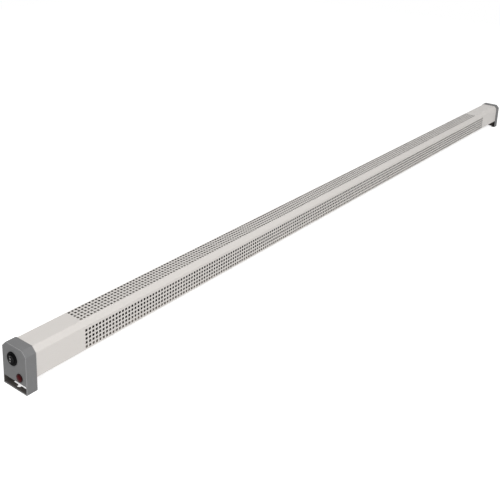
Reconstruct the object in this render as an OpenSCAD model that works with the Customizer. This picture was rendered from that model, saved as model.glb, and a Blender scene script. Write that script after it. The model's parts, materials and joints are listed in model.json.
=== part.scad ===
// Free-standing plinth heater: a long low tube of perforated sheet steel on two moulded end caps.
// X runs along the heater with the switch end at -X, the perforated front faces -Y and +Z is up.
// The origin is on the floor, under the middle of the whole heater.

/* [Overall] */
// Length over both end caps
length = 2000; // [900:50:2400]
// Width of an end cap, front to back
cap_w = 58; // [57:1:80]
// Height of an end cap
cap_h = 76; // [74:1:96]
// Depth of an end cap along the heater
cap_depth = 20; // [18:1:30]
// Leg of the chamfer along the top edges of an end cap
cap_chamfer = 9.2; // [6:0.2:9.6]
// How far an end cap stands out beyond the tube all round
cap_proud = 1.5; // [1.2:0.1:3]

/* [Tube] */
// Height of the tube's underside above the floor
tube_lift = 21.5; // [18:0.5:24]
// Thickness of the sheet steel
sheet_t = 0.8; // [0.6:0.1:1.5]
// Outer radius of the folds in the sheet
fold_r = 2.4; // [1.6:0.1:3]
// Width of the lapped joints between the sheets
lap_w = 4; // [3:0.5:5]
// Width of the return flange under the front sheet
flange_w = 12; // [10:1:16]
// Gap between the end of the tube and the outer face of the cap
tube_setback = 6; // [5:0.5:9]

/* [Perforation] */
// Side of a square hole
hole = 4.5; // [3:0.1:5]
// Distance between neighbouring holes
hole_pitch = 7.5; // [6:0.5:7.5]
// Rows of holes on the front and on the top
hole_rows = 5; // [3:1:5]
// Plain tube between the control cap and the first holes
plain_near = 100; // [90:5:160]
// Plain tube between the last holes of the front and the plain cap
plain_far = 120; // [60:5:200]
// Plain tube between the last holes of the top and the plain cap
plain_far_top = 165; // [60:5:200]
// Hole pitches from one drawn cross bar to the next: 1 is the whole perforation, 3 draws every third bar
bar_step = 3; // [1:1:12]

/* [End cap moulding] */
// Thickness of the outer face of a cap
face_t = 2.5; // [2:0.1:3.5]
// Thickness of the walls beside the foot recess
foot_wall = 1.7; // [1.5:0.1:2.5]
// Thickness of the ledge that carries the tube
ledge_t = 2; // [1.6:0.1:3]
// Thickness of the foot plate
foot_t = 2.4; // [2:0.1:4]
// Height of the foot opening in the control cap
opening_h = 15; // [12:0.5:16]
// Depth of the foot plate's band behind the outer face
foot_band = 8.6; // [7:0.2:11]
// Width of the foot plate's two side strips
foot_strip = 11.5; // [9:0.5:13]
// Radius of the notch for a floor screw
notch_r = 4.2; // [3:0.1:5]
// Depth of the straight part of that notch
notch_straight = 0.5; // [0.2:0.1:1]
// Rounding of the moulded edges
mould_r = 1.2; // [0.6:0.1:2]
// Clearance between the cap's sleeve and the tube
sleeve_gap = 0.2; // [0.1:0.05:0.3]

/* [Rocker switch] */
// Switch centre, back from the middle of the cap
switch_y = 3.5; // [-2:0.5:5]
// Switch centre below the top of the cap
switch_drop = 23; // [18:0.1:24]
// Radius of the switch bezel
bezel_r = 11.5; // [11:0.1:13]
// How far the bezel stands out of the cap
bezel_t = 2.3; // [1.5:0.1:3]
// Radius of the switch barrel
barrel_r = 9.9; // [9.4:0.1:10.2]
// Length of the switch barrel behind the outer face
barrel_l = 15; // [12:0.5:20]
// Radius of the ball that the rocker is cut from
rocker_r = 8.5; // [7.6:0.1:8.6]
// How far the rocker's rims stand out of the cap
rocker_proud = 3.8; // [3.2:0.1:4.4]
// How deep the rocker's face is hollowed
rocker_scoop = 0.8; // [0.4:0.1:1.2]
// Radius of the rocker's hinge pin
pin_r = 1; // [0.8:0.05:1.2]
// Turn of the rocker to either side of its middle place, in degrees
rocker_turn = 12; // [6:1:14]

/* [Indicator lamp] */
// Lamp centre, in from the front of the cap
lamp_inset = 16.5; // [14:0.5:18]
// Lamp centre above the lip of the tray
lamp_rise = 2.3; // [2.3:0.1:4]
// Radius of the lamp collar
collar_r = 7.2; // [6.4:0.1:7.6]
// Thickness of the lamp collar
collar_t = 1.6; // [1.4:0.1:2]
// Radius of the lamp lens
lens_r = 5.7; // [4.8:0.1:5.9]
// How far the lens stands out of the cap
lens_proud = 3; // [2.2:0.1:3.6]
// Radius of the lamp barrel
lamp_barrel_r = 2.6; // [2.2:0.1:2.6]

/* [Heating element] */
// Radius of the sheathed element rod
rod_r = 3.25; // [2.5:0.05:4]
// Distance of each leg from the middle, as a share of the tube's width
leg_share = 0.164; // [0.15:0.002:0.2]
// Height of the element above the floor of the tube
element_rise = 19.3; // [17:0.1:22]
// Supports under the element
supports = 5; // [2:1:7]
// Thickness of the support and bulkhead plates
plate_t = 1; // [0.8:0.1:1.5]
// Thickness of the reflector sheet
reflector_t = 0.5; // [0.4:0.1:0.8]

/* [Wiring] */
// Radius of the hole through the cable grommet
cable_r = 4; // [3:0.1:4.5]
// Radius of the fixing screws
screw_r = 2; // [1.5:0.1:2.2]
// Screws that hold the front sheet to the tray
cover_screw_count = 6; // [3:1:10]

/* [Hidden] */

$fn = 48;

cap_grey = [0.45, 0.45, 0.46];
enamel = [0.86, 0.84, 0.81];
black = [0.08, 0.08, 0.09];
steel = [0.62, 0.62, 0.64];
bright = [0.80, 0.81, 0.83];
lamp_red = [0.62, 0.05, 0.06];
ceramic_white = [0.93, 0.92, 0.88];
brass_yellow = [0.78, 0.65, 0.34];
rubber_black = [0.12, 0.12, 0.12];

// How far every cut runs past the face that it opens
overrun = 1;
// Play round a shank, a barrel or a rod in its hole
hole_play = 0.08;
// Gap beside a plate that is held between other sheets
seat_gap = 0.25;

// The bezel reaches past one cap only, so the heater is centred over all
near_x = -length / 2 + rocker_proud / 2;
far_x = near_x + length;

// The tube, inside the caps' outline
tube_w = cap_w - 2 * cap_proud;
tube_top = cap_h - cap_proud;
fold_share = 2 - sqrt(2);
tube_chamfer = cap_chamfer - cap_proud * fold_share;
fold_reach = fold_r * tan(22.5);
joint_z = tube_top - tube_chamfer - fold_reach;
tube_x0 = near_x + tube_setback;
tube_len = length - 2 * tube_setback;
front_y = -tube_w / 2;
back_y = tube_w / 2;
floor_z = tube_lift + sheet_t;
lip_z = floor_z + sheet_t;
flange_y = front_y + flange_w;
tube_wall_y = back_y - sheet_t;

// The perforated field
field_x0 = near_x + cap_depth + plain_near;
front_columns = columns_before(plain_far);
top_columns = columns_before(plain_far_top);
field_l = (max(front_columns, top_columns) - 1) * hole_pitch + hole;
rows_w = (hole_rows - 1) * hole_pitch;
bar_w = hole_pitch - hole;
slot_l = bar_step * hole_pitch - bar_w;
front_rows_z = (tube_lift + joint_z) / 2;

// The compartments inside the tube
bulkhead_setback = 8;
near_bulkhead_x = field_x0 - bulkhead_setback;
far_bulkhead_x = field_x0 + field_l + bulkhead_setback;
bulkhead_span = far_bulkhead_x - near_bulkhead_x;

// Foot recess
ledge_z = tube_lift - ledge_t;
cutout_half = cap_w / 2 - foot_strip;

// Where the switch and the lamp sit in the control cap
switch_z = cap_h - switch_drop;
lamp_y = -cap_w / 2 + lamp_inset;
lamp_z = lip_z + lamp_rise;
// The lamp's barrel ends before the tube begins
lamp_barrel_l = tube_setback - 2 * seat_gap;

// Screws and their heads
head_r_share = 1.9;
head_t_share = 1.1;
head_r = head_r_share * screw_r;
head_t = head_t_share * screw_r;
screw_hole_r = screw_r + hole_play;
cap_screw_inset = 6.5;
cap_screw_x = cap_depth - cap_screw_inset;
// Both screws sit behind the lamp: places across the tube, as shares of its width
cap_screw_share = [-0.02, 0.24];
cap_screw_l = 9;
cover_screw_y = front_y + flange_w / 2 + fold_r / 4;
cover_screw_l = 7;
rivet_r = 1.6;
rivet_head_r = 3;
rivet_head_t = 0.9;
rivet_l = 5;
rivet_z = joint_z - lap_w / 2;
// Rivets stand clear of the caps by a share of the tube's length
rivet_end_share = 0.06;

// Hinge of the rocker: in the plane of the cap's face
hinge_x = near_x;
pocket_gap = 0.3;
pocket_r = rocker_r + pocket_gap;
pocket_depth = 7;
pin_half = (barrel_r + pocket_r) / 2;
rocker_back = 3;
face_half = sqrt(pow(rocker_r, 2) - pow(rocker_proud, 2));
scoop_r = (pow(face_half, 2) + pow(rocker_scoop, 2)) / (2 * rocker_scoop);
retainer_t = 1.2;
switch_retainer_w = 1.8;
lamp_retainer_w = 0.8;

// Blade terminals
blade_w = 4.8;
blade_t = 0.8;
blade_l = 8;
lamp_blade_w = 2.8;
lamp_blade_l = 6;
lens_seat = 1;
// Upright rim of the lens below its dome
lens_rim = 0.3;

// Element ends
element_z = floor_z + element_rise;
element_end_l = 16;
element_end_x = near_bulkhead_x - element_end_l;
element_bend_room = 40;
element_bend_x = far_bulkhead_x - element_bend_room;
leg_y = leg_share * tube_w;
bush_r = 5.6;
bush_gap = 1.6;
bush_flange_r = leg_y - bush_gap;
bush_l = 9;
bush_flange_t = 2.5;
stud_r = 1.6;
stud_l = 7;

// Supports: a foot between the tray's lip and its back, and a wider plate above the lip
support_rim = 3.8;
support_half_w = leg_y + rod_r + support_rim;
support_top = element_z + rod_r + support_rim;
support_foot = 9;
support_shoulder = 3;
reflector_z = floor_z + reflector_t;
reflector_y0 = flange_y + sheet_t + seat_gap;
reflector_gap = 3.2;
reflector_top = joint_z - lap_w - reflector_gap;
reflector_fold_r = 3.5;
support_foot_half = -reflector_y0 - seat_gap;

// Thermal cut-out on the bulkhead
cutout_r = 7.5;
cutout_cap_r = 6.5;
cutout_cap_l = 3;
cutout_l = 8;
cutout_gap = 5.8;
cutout_z = tube_top - sheet_t - cutout_r - cutout_gap;

// Terminal block
block_setback = 58;
block_x = near_x + block_setback;
block_l = 17;
block_front_gap = 6.3;
block_back_gap = 3.3;
block_y0 = flange_y + sheet_t + block_front_gap;
block_w = tube_wall_y - block_back_gap - block_y0;
block_h = 14;
block_poles = 3;
well_r = 2.9;
well_depth = 7;
wire_bore_r = 1.8;
wire_bore_z = 4.5;
terminal_screw_h = 5;
slot_w = 0.8;

// Cable inlet in the floor of the tray
inlet_setback = 42;
inlet_x = near_x + inlet_setback;
inlet_y = 6;
grommet_seat_r = 6.4;
grommet_flange_r = 8.6;
grommet_flange_t = 1.8;

// Earth stud
earth_setback = 90;
earth_x = near_x + earth_setback;
earth_back_gap = 12.3;
earth_y = tube_wall_y - earth_back_gap;
earth_r = 2;
earth_l = 13;
earth_base_r = 4;
earth_base_t = 1;
earth_nut_r = 4;
earth_nut_h = 3.2;

// Outline of a cap or of the tube: upright sides, two chamfers and a flat top
function outline(w, z0, z1, chamfer) = [
  [-w / 2, z0], [-w / 2, z1 - chamfer], [-w / 2 + chamfer, z1],
  [w / 2 - chamfer, z1], [w / 2, z1 - chamfer], [w / 2, z0]];

// A flat outline in Y and Z, drawn out along X from x0
module along_x(x0, l) {
  translate([x0, 0, 0])
    rotate([90, 0, 90])
      linear_extrude(l)
        children();
}

module rod_x(x0, y, z, l, r) {
  translate([x0, y, z])
    rotate([0, 90, 0])
      cylinder(h = l, r = r);
}

module rod_z(x, y, z0, l, r) {
  translate([x, y, z0])
    cylinder(h = l, r = r);
}

// Corners turned outward are rounded by r
module rounded(r) {
  offset(r = r)
    offset(delta = -r)
      children();
}

// Outer skin of the folded tube, taken in by an inset
module tube_skin(inset) {
  offset(delta = -inset)
    rounded(fold_r)
      polygon(outline(tube_w, tube_lift, tube_top, tube_chamfer));
}

module tube_wall() {
  difference() {
    tube_skin(0);
    tube_skin(sheet_t);
  }
}

// Everything above a height, or below it
module above(z) {
  translate([-cap_w, z])
    square([2 * cap_w, cap_h]);
}

module below(z) {
  translate([-cap_w, z - cap_h])
    square([2 * cap_w, cap_h]);
}

// Columns of holes that leave a plain length before the far cap
function columns_before(plain) =
  floor((length - 2 * cap_depth - plain_near - plain - hole) / (hole_pitch * bar_step)) * bar_step + 1;

// Cutters of the perforation, on a face whose outside is the plane z = 0
module perforation(columns) {
  for (column = [0 : bar_step : columns - 1 - bar_step], row = [0 : hole_rows - 1])
    translate([column * hole_pitch, row * hole_pitch - rows_w / 2 - hole / 2, -sheet_t - overrun])
      cube([slot_l, hole, sheet_t + 2 * overrun]);
}

module front_grille() {
  color(enamel)
    difference() {
      along_x(tube_x0, tube_len)
        intersection() {
          tube_wall();
          union() {
            translate([front_y - overrun, tube_lift + fold_r])
              square([sheet_t + overrun, joint_z - tube_lift - fold_r]);
            translate([front_y - overrun, tube_lift - overrun])
              square([flange_w + overrun, fold_r + overrun]);
          }
        }
      translate([field_x0, front_y, front_rows_z])
        rotate([90, 0, 0])
          perforation(front_columns);
      for (i = [0 : cover_screw_count - 1])
        rod_z(cover_screw_x(i), cover_screw_y, tube_lift - overrun, sheet_t + 2 * overrun, screw_hole_r);
    }
}

function cover_screw_x(i) = near_x + cap_depth + (i + 0.5) * (length - 2 * cap_depth) / cover_screw_count;

module top_grille() {
  color(enamel)
    difference() {
      along_x(tube_x0, tube_len)
        union() {
          intersection() {
            tube_wall();
            above(joint_z);
          }
          for (side = [0, 1])
            mirror([side, 0])
              lap_strip();
        }
      translate([field_x0, 0, tube_top])
        perforation(top_columns);
      for (i = [0 : cover_screw_count - 1])
        rivet_hole(i);
    }
}

// Strip that runs on behind the next sheet, stepped in by one thickness
module lap_strip() {
  translate([front_y + sheet_t, joint_z - lap_w])
    square([sheet_t, lap_w]);
  translate([front_y + sheet_t / 2, joint_z])
    square([sheet_t / 2 + sheet_t, sheet_t]);
}

function rivet_x(i) = near_x + length * rivet_end_share
  + i * length * (1 - 2 * rivet_end_share) / (cover_screw_count - 1);

module rivet_hole(i) {
  translate([rivet_x(i), back_y + overrun, rivet_z])
    rotate([90, 0, 0])
      cylinder(h = 2 * sheet_t + 2 * overrun, r = rivet_r + hole_play);
}

module tray_profile() {
  intersection() {
    tube_wall();
    below(joint_z);
    translate([flange_y, tube_lift - overrun])
      square([tube_w, cap_h]);
  }
  translate([flange_y, tube_lift])
    square([sheet_t, 2 * sheet_t]);
  translate([front_y + sheet_t + fold_r, floor_z])
    square([flange_w - fold_r, sheet_t]);
}

module back_tray() {
  color(enamel)
    difference() {
      along_x(tube_x0, tube_len)
        tray_profile();
      for (i = [0 : cover_screw_count - 1]) {
        rod_z(cover_screw_x(i), cover_screw_y, floor_z - overrun, sheet_t + 2 * overrun, screw_hole_r);
        rivet_hole(i);
      }
      for (x = [near_x + cap_screw_x, far_x - cap_screw_x], share = cap_screw_share)
        rod_z(x, share * tube_w, tube_lift - overrun, 2 * sheet_t + 2 * overrun, screw_hole_r);
      rod_z(inlet_x, inlet_y, tube_lift - overrun, sheet_t + 2 * overrun, grommet_seat_r);
    }
}

// Foot plate with its cut-out and the notch for a floor screw, seen from above; x runs in from the outer face
module foot_plate_outline() {
  difference() {
    translate([0, -cap_w / 2])
      square([cap_depth, cap_w]);
    translate([foot_band, -cutout_half])
      square([cap_depth, 2 * cutout_half]);
    translate([foot_band - notch_straight, -notch_r])
      square([notch_straight + overrun, 2 * notch_r]);
    translate([foot_band - notch_straight, 0])
      intersection() {
        circle(notch_r);
        translate([-notch_r - overrun, -notch_r])
          square([notch_r + overrun, 2 * notch_r]);
      }
  }
}

// Cap with its outer face at x = 0, its sleeve opening towards +x
module cap_shell(foot_open) {
  difference() {
    along_x(0, cap_depth)
      rounded(mould_r)
        polygon(outline(cap_w, 0, cap_h, cap_chamfer));
    along_x(face_t, cap_depth)
      difference() {
        tube_skin(-sleeve_gap);
        below(tube_lift);
      }
    translate([foot_open ? -overrun : face_t, -cap_w / 2 + foot_wall, foot_t])
      cube([cap_depth + 2 * overrun, cap_w - 2 * foot_wall, opening_h - foot_t]);
    translate([face_t, -cap_w / 2 + foot_wall, foot_t])
      cube([cap_depth, cap_w - 2 * foot_wall, ledge_z - foot_t]);
    translate([0, 0, -overrun])
      linear_extrude(foot_t + 2 * overrun)
        intersection() {
          difference() {
            translate([0, -cutout_half])
              square([cap_depth + overrun, 2 * cutout_half]);
            foot_plate_outline();
          }
          translate([foot_band - notch_straight - notch_r - overrun, -cap_w / 2])
            square([cap_depth, cap_w]);
        }
    for (share = cap_screw_share)
      rod_z(cap_screw_x, share * tube_w, ledge_z - overrun, ledge_t + 2 * overrun, screw_hole_r);
  }
}

module control_end_cap() {
  color(cap_grey)
    translate([near_x, 0, 0])
      difference() {
        cap_shell(true);
        rod_x(-overrun, switch_y, switch_z, face_t + 2 * overrun, barrel_r + hole_play);
        rod_x(-overrun, lamp_y, lamp_z, face_t + 2 * overrun, lamp_barrel_r + hole_play);
      }
}

module plain_end_cap() {
  color(cap_grey)
    translate([far_x, 0, 0])
      mirror([1, 0, 0])
        cap_shell(false);
}

module reflector() {
  color(bright)
    along_x(near_bulkhead_x + plate_t + seat_gap, bulkhead_span - plate_t - 2 * seat_gap)
      difference() {
        reflector_outline(0);
        reflector_outline(reflector_t);
      }
}

// The reflector covers the tray's floor and its back: an L with a rounded fold
module reflector_outline(inset) {
  intersection() {
    offset(delta = -inset)
      rounded(reflector_fold_r)
        translate([-tube_w, floor_z])
          square([tube_w + tube_wall_y, cap_h]);
    translate([reflector_y0, floor_z - overrun])
      square([tube_w, reflector_top - floor_z + overrun]);
  }
}

// Free section inside the tube, clear of the lapped joints and the tray's lip
module cavity_outline() {
  difference() {
    tube_skin(sheet_t);
    for (side = [0, 1])
      mirror([side, 0])
        lap_strip();
    translate([front_y, tube_lift])
      square([flange_w + sheet_t, 2 * sheet_t]);
  }
}

module bulkhead(x) {
  along_x(x, plate_t)
    offset(delta = -seat_gap)
      cavity_outline();
}

module control_bulkhead() {
  color(steel)
    difference() {
      bulkhead(near_bulkhead_x);
      for (side = [-1, 1])
        rod_x(near_bulkhead_x - overrun, side * leg_y, element_z, plate_t + 2 * overrun, bush_r + hole_play);
    }
}

module far_bulkhead() {
  color(steel)
    bulkhead(far_bulkhead_x);
}

module heating_element() {
  color(steel)
    union() {
      for (side = [-1, 1])
        rod_x(element_end_x, side * leg_y, element_z, element_bend_x - element_end_x, rod_r);
      translate([element_bend_x, 0, element_z])
        rotate([0, 0, -90])
          rotate_extrude(angle = 180)
            translate([leg_y, 0])
              circle(rod_r);
    }
}

function support_x(i) = near_bulkhead_x + (i + 1) * (element_bend_x - near_bulkhead_x) / (supports + 1);

module element_supports() {
  color(steel)
    for (i = [0 : supports - 1])
      difference() {
        translate([support_x(i), 0, 0])
          union() {
            translate([0, -support_foot_half, reflector_z])
              cube([plate_t, 2 * support_foot_half, support_top - reflector_z]);
            translate([0, -support_foot_half, reflector_z])
              cube([support_foot, 2 * support_foot_half, plate_t]);
            translate([0, -support_half_w, lip_z + support_shoulder])
              cube([plate_t, 2 * support_half_w, support_top - lip_z - support_shoulder]);
          }
        for (side = [-1, 1])
          rod_x(support_x(i) - overrun, side * leg_y, element_z, plate_t + 2 * overrun, rod_r + hole_play);
      }
}

module element_bushes() {
  color(ceramic_white)
    for (side = [-1, 1])
      difference() {
        union() {
          rod_x(near_bulkhead_x - bush_flange_t, side * leg_y, element_z, bush_flange_t, bush_flange_r);
          rod_x(near_bulkhead_x - bush_flange_t, side * leg_y, element_z, bush_l, bush_r);
        }
        rod_x(near_bulkhead_x - bush_flange_t - overrun, side * leg_y, element_z,
          bush_l + 2 * overrun, rod_r + hole_play);
      }
}

module element_terminals() {
  color(bright)
    for (side = [-1, 1]) {
      rod_x(element_end_x - stud_l, side * leg_y, element_z, stud_l, stud_r);
      translate([element_end_x - stud_l - blade_l, side * leg_y - blade_w / 2, element_z - blade_t / 2])
        cube([blade_l, blade_w, blade_t]);
    }
}

module thermal_cutout() {
  color(black)
    union() {
      rod_x(near_bulkhead_x - cutout_cap_l, 0, cutout_z, cutout_cap_l, cutout_cap_r);
      rod_x(near_bulkhead_x - cutout_cap_l - cutout_l, 0, cutout_z, cutout_l, cutout_r);
      for (side = [-1, 1])
        translate([near_bulkhead_x - cutout_cap_l - cutout_l - blade_l,
          side * blade_w - blade_t / 2, cutout_z - blade_w / 2])
          cube([blade_l + cutout_l / 2, blade_t, blade_w]);
    }
}

function pole_y(i) = block_y0 + (i + 0.5) * block_w / block_poles;

module terminal_block() {
  color(ceramic_white)
    difference() {
      translate([block_x, block_y0, floor_z])
        cube([block_l, block_w, block_h]);
      for (i = [0 : block_poles - 1]) {
        rod_z(block_x + block_l / 2, pole_y(i), floor_z + block_h - well_depth, well_depth + overrun, well_r);
        rod_x(block_x - overrun, pole_y(i), floor_z + wire_bore_z, block_l + 2 * overrun, wire_bore_r);
      }
    }
}

module terminal_screws() {
  color(brass_yellow)
    for (i = [0 : block_poles - 1])
      difference() {
        rod_z(block_x + block_l / 2, pole_y(i), floor_z + block_h - well_depth,
          terminal_screw_h, well_r - hole_play);
        translate([block_x + block_l / 2 - well_r, pole_y(i) - slot_w / 2,
          floor_z + block_h - well_depth + terminal_screw_h - slot_w])
          cube([2 * well_r, slot_w, slot_w + overrun]);
      }
}

module earth_stud() {
  color(brass_yellow)
    union() {
      rod_z(earth_x, earth_y, floor_z, earth_base_t, earth_base_r);
      rod_z(earth_x, earth_y, floor_z, earth_l, earth_r);
    }
}

module earth_nut() {
  color(brass_yellow)
    difference() {
      translate([earth_x, earth_y, floor_z + earth_base_t])
        cylinder(h = earth_nut_h, r = earth_nut_r, $fn = 6);
      rod_z(earth_x, earth_y, floor_z, earth_l, earth_r + hole_play);
    }
}

module cable_grommet() {
  color(rubber_black)
    difference() {
      union() {
        rod_z(inlet_x, inlet_y, tube_lift, sheet_t, grommet_seat_r - hole_play);
        rod_z(inlet_x, inlet_y, tube_lift - grommet_flange_t, grommet_flange_t, grommet_flange_r);
        rod_z(inlet_x, inlet_y, floor_z, grommet_flange_t, grommet_flange_r);
      }
      rod_z(inlet_x, inlet_y, tube_lift - grommet_flange_t - overrun,
        sheet_t + 2 * grommet_flange_t + 2 * overrun, cable_r);
    }
}

module switch_body() {
  color(black)
    difference() {
      union() {
        rod_x(near_x - bezel_t, switch_y, switch_z, bezel_t, bezel_r);
        rod_x(near_x, switch_y, switch_z, barrel_l, barrel_r);
      }
      rod_x(near_x - bezel_t - overrun, switch_y, switch_z, bezel_t + overrun + pocket_depth, pocket_r);
      translate([hinge_x, switch_y - pin_half - hole_play, switch_z])
        rotate([-90, 0, 0])
          cylinder(h = 2 * (pin_half + hole_play), r = pin_r + hole_play);
    }
}

module switch_rocker() {
  color(black)
    union() {
      difference() {
        intersection() {
          translate([hinge_x, switch_y, switch_z])
            sphere(rocker_r);
          translate([near_x - rocker_proud, switch_y - rocker_r, switch_z - rocker_r])
            cube([rocker_proud + rocker_back, 2 * rocker_r, 2 * rocker_r]);
        }
        translate([near_x - rocker_proud - scoop_r + rocker_scoop, switch_y - rocker_r - overrun, switch_z])
          rotate([-90, 0, 0])
            cylinder(h = 2 * (rocker_r + overrun), r = scoop_r, $fn = 96);
      }
      translate([hinge_x, switch_y - pin_half, switch_z])
        rotate([-90, 0, 0])
          cylinder(h = 2 * pin_half, r = pin_r);
    }
}

// Spring ring that holds a barrel against the back of the cap's face
module retainer(y, z, r, w) {
  difference() {
    rod_x(near_x + face_t, y, z, retainer_t, r + w);
    rod_x(near_x + face_t - overrun, y, z, retainer_t + 2 * overrun, r + hole_play);
  }
}

module switch_retainer() {
  color(steel)
    retainer(switch_y, switch_z, barrel_r, switch_retainer_w);
}

module switch_terminals() {
  color(bright)
    for (side = [-1, 0, 1])
      translate([near_x + barrel_l, switch_y - blade_w / 2, switch_z + side * blade_w - blade_t / 2])
        cube([blade_l, blade_w, blade_t]);
}

module lamp_collar() {
  color(black)
    difference() {
      union() {
        rod_x(near_x - collar_t, lamp_y, lamp_z, collar_t, collar_r);
        rod_x(near_x, lamp_y, lamp_z, lamp_barrel_l, lamp_barrel_r);
      }
      rod_x(near_x - collar_t - overrun, lamp_y, lamp_z, lens_seat + overrun, lens_r + hole_play);
    }
}

module lamp_lens() {
  dome_h = lens_proud - collar_t - lens_rim;
  dome_r = (pow(lens_r, 2) + pow(dome_h, 2)) / (2 * dome_h);
  color(lamp_red)
    union() {
      rod_x(near_x - collar_t, lamp_y, lamp_z, lens_seat, lens_r);
      intersection() {
        translate([near_x - lens_proud + dome_r, lamp_y, lamp_z])
          sphere(dome_r, $fn = 96);
        rod_x(near_x - lens_proud - overrun, lamp_y, lamp_z, lens_proud - collar_t + overrun, lens_r);
      }
    }
}

module lamp_retainer() {
  color(steel)
    retainer(lamp_y, lamp_z, lamp_barrel_r, lamp_retainer_w);
}

module lamp_terminals() {
  color(bright)
    for (side = [-1, 1])
      translate([near_x + lamp_barrel_l, lamp_y + side * lamp_barrel_r / 2 - blade_t / 2,
        lamp_z - lamp_blade_w / 2])
        cube([lamp_blade_l, blade_t, lamp_blade_w]);
}

// Pan-head screw driven upwards, its head seated at height z under what it clamps
module screw_up(x, y, z, l) {
  rod_z(x, y, z - head_t, head_t, head_r);
  rod_z(x, y, z, l, screw_r);
}

module control_cap_screws() {
  color(steel)
    for (share = cap_screw_share)
      screw_up(near_x + cap_screw_x, share * tube_w, ledge_z, cap_screw_l);
}

module plain_cap_screws() {
  color(steel)
    for (share = cap_screw_share)
      screw_up(far_x - cap_screw_x, share * tube_w, ledge_z, cap_screw_l);
}

module cover_screws() {
  color(steel)
    for (i = [0 : cover_screw_count - 1])
      screw_up(cover_screw_x(i), cover_screw_y, tube_lift, cover_screw_l);
}

module back_rivets() {
  color(steel)
    for (i = [0 : cover_screw_count - 1])
      translate([rivet_x(i), back_y, rivet_z]) {
        rotate([-90, 0, 0])
          cylinder(h = rivet_head_t, r = rivet_head_r);
        rotate([90, 0, 0])
          cylinder(h = rivet_l, r = rivet_r);
      }
}

control_end_cap();
plain_end_cap();
front_grille();
top_grille();
back_tray();
reflector();
control_bulkhead();
far_bulkhead();
heating_element();
element_supports();
element_bushes();
element_terminals();
thermal_cutout();
terminal_block();
terminal_screws();
earth_stud();
earth_nut();
cable_grommet();
switch_body();
switch_rocker();
switch_retainer();
switch_terminals();
lamp_collar();
lamp_lens();
lamp_retainer();
lamp_terminals();
control_cap_screws();
plain_cap_screws();
cover_screws();
back_rivets();
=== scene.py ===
"""Looks of a free-standing plinth heater.

It is a long low tube of perforated enamelled sheet on two moulded end caps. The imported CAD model
is the frame. Lengths are in metres, X runs along the heater and -Y is its perforated front.
"""

import json
import math

import bmesh
import bpy
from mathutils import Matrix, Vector

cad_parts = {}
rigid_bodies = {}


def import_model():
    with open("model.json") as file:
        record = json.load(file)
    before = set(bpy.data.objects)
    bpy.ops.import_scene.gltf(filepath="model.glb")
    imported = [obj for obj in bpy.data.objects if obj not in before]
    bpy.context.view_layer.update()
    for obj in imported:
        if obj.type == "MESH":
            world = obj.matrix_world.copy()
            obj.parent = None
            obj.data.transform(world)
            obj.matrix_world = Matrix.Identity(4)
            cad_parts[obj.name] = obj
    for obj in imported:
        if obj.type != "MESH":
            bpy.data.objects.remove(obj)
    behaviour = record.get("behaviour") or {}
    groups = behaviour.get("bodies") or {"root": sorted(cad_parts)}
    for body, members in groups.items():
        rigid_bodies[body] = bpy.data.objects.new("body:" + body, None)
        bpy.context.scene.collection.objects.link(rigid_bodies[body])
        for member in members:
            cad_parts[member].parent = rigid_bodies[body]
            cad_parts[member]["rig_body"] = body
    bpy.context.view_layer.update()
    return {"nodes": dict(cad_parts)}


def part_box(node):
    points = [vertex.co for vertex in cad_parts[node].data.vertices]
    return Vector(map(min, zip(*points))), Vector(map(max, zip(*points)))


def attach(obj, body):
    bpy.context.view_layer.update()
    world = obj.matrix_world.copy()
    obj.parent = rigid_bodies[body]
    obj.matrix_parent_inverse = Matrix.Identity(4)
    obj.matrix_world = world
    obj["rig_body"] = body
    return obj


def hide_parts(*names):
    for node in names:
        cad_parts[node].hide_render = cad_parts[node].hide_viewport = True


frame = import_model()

MM = 0.001

# Sheets, hole fields and caps, as in part.scad
SHEET_T = 0.8 * MM
FOLD_R = 2.4 * MM
LAP_W = 4 * MM
FLANGE_W = 12 * MM
HOLE = 4.5 * MM
PITCH = 7.5 * MM
ROWS = 5
FRONT_COLUMNS = 232
TOP_COLUMNS = 226
PLAIN_NEAR = 100 * MM
CAP_DEPTH = 20 * MM
CAP_PROUD = 1.5 * MM
CAP_CHAMFER = 9.2 * MM
FOOT_WALL = 1.7 * MM
TUBE_CHAMFER = CAP_CHAMFER - CAP_PROUD * (2 - math.sqrt(2))
FOLD_REACH = FOLD_R * math.tan(math.radians(45) / 2)

CAP_LOW, CAP_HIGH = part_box("control_end_cap")
NEAR_X = CAP_LOW.x
FAR_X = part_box("plain_end_cap")[1].x
TRAY_LOW, TRAY_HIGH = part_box("back_tray")
TUBE_ENDS = (TRAY_LOW.x, TRAY_HIGH.x)
TUBE_BOTTOM = TRAY_LOW.z
TUBE_TOP = CAP_HIGH.z - CAP_PROUD
BACK_Y = TRAY_HIGH.y
FRONT_Y = -BACK_Y
JOINT_Z = TUBE_TOP - TUBE_CHAMFER - FOLD_REACH
FIELD_X0 = NEAR_X + CAP_DEPTH + PLAIN_NEAR
FRONT_ROWS_Z = (TUBE_BOTTOM + JOINT_Z) / 2
FIELD_HALF = (ROWS - 1) * PITCH / 2 + HOLE / 2
LIP_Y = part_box("reflector")[0].y


def round_fitting(node):
    """Middle (y, z), radius, proud rim and depth of a round fitting in the control cap's face."""
    low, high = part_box(node)
    middle = ((low.y + high.y) / 2, (low.z + high.z) / 2)
    return middle, (high.z - low.z) / 2, NEAR_X - low.x, high.x - NEAR_X


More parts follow.
